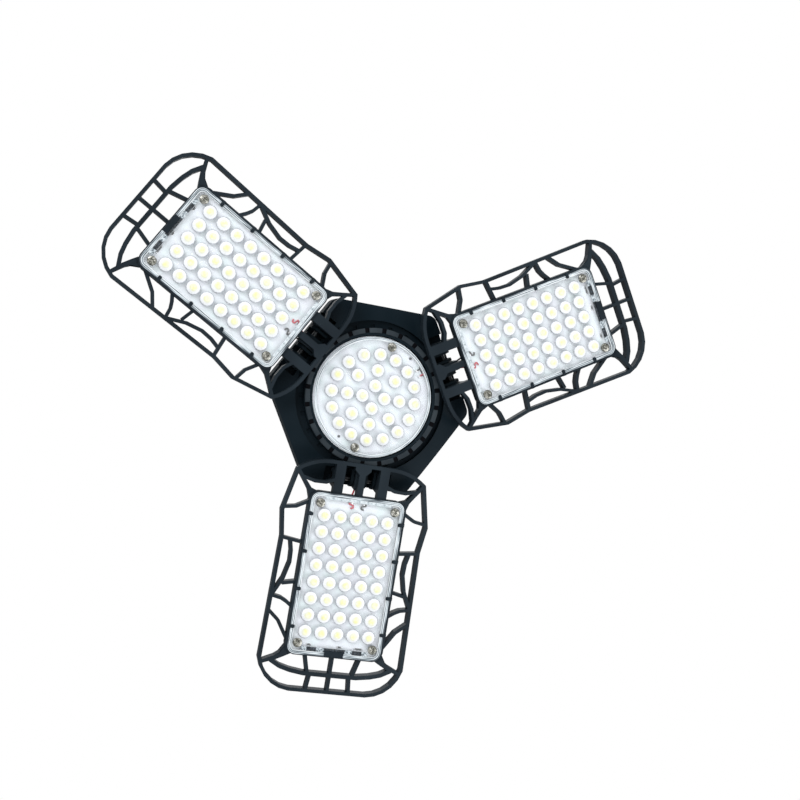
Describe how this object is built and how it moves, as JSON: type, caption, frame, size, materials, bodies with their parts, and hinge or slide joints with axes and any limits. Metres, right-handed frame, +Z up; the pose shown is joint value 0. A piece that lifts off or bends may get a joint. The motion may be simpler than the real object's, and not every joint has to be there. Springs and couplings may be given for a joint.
{
  "type": "folding garage light",
  "caption": "Ceiling lamp with a round-fronted hub on a screw cap and flat LED wings in open web frames that hinge back from the hub.",
  "frame": {"origin": "on the screw cap's axis, in the plane where the cap meets the driver housing", "axes": "+Z up along the screw cap towards the ceiling socket; LEDs face -Z; wing c lies along +Y, wing b along -30 degrees and wing a along 210 degrees from +X"},
  "size_m": [0.3468, 0.3068, 0.1103],
  "materials": {
    "nickel": "satin",
    "black_glass": "gloss",
    "contact_brass": "satin",
    "black_plastic": "satin",
    "screw_nickel": "satin",
    "green_board": "satin",
    "transformer_tape": "satin",
    "capacitor_sleeve": "gloss",
    "white_board": "satin",
    "led_phosphor": "satin",
    "clear_lens": "gloss",
    "lead_red": "gloss",
    "lead_black": "gloss"
  },
  "bodies": {
    "hub": {"screw_shell": "nickel", "cap_insulator": "black_glass", "centre_contact": "contact_brass", "driver_housing": "black_plastic", "housing_screws": "screw_nickel", "driver_board": "green_board", "driver_transformer": "transformer_tape", "driver_capacitors": "capacitor_sleeve", "hub_shell": "black_plastic", "hub_led_board": "white_board", "hub_led_chips": "led_phosphor", "hub_lens_cover": "clear_lens", "hub_cover_screws": "screw_nickel", "hub_lead_red": "lead_red", "hub_lead_black": "lead_black"},
    "wing_a": {"wing_a_frame": "black_plastic", "wing_a_led_board": "white_board", "wing_a_led_chips": "led_phosphor", "wing_a_lens_cover": "clear_lens", "wing_a_cover_screws": "screw_nickel", "wing_a_hinge_screw": "screw_nickel", "wing_a_hinge_nut": "screw_nickel", "wing_a_lead_red": "lead_red", "wing_a_lead_black": "lead_black"},
    "wing_b": {"wing_b_frame": "black_plastic", "wing_b_led_board": "white_board", "wing_b_led_chips": "led_phosphor", "wing_b_lens_cover": "clear_lens", "wing_b_cover_screws": "screw_nickel", "wing_b_hinge_screw": "screw_nickel", "wing_b_hinge_nut": "screw_nickel", "wing_b_lead_red": "lead_red", "wing_b_lead_black": "lead_black"},
    "wing_c": {"wing_c_frame": "black_plastic", "wing_c_led_board": "white_board", "wing_c_led_chips": "led_phosphor", "wing_c_lens_cover": "clear_lens", "wing_c_cover_screws": "screw_nickel", "wing_c_hinge_screw": "screw_nickel", "wing_c_hinge_nut": "screw_nickel", "wing_c_lead_red": "lead_red", "wing_c_lead_black": "lead_black"}
  },
  "joints": [
    {"name": "wing_a_fold", "type": "hinge", "parent": "hub", "child": "wing_a", "pos_m": [-0.04503, -0.026, -0.0685], "axis": [-0.5, 0.866, 0], "range_deg": [0, 90]},
    {"name": "wing_b_fold", "type": "hinge", "parent": "hub", "child": "wing_b", "pos_m": [0.04503, -0.026, -0.0685], "axis": [-0.5, -0.866, 0], "range_deg": [0, 90]},
    {"name": "wing_c_fold", "type": "hinge", "parent": "hub", "child": "wing_c", "pos_m": [0, 0.052, -0.0685], "axis": [1, 0, 0], "range_deg": [0, 90]}
  ]
}
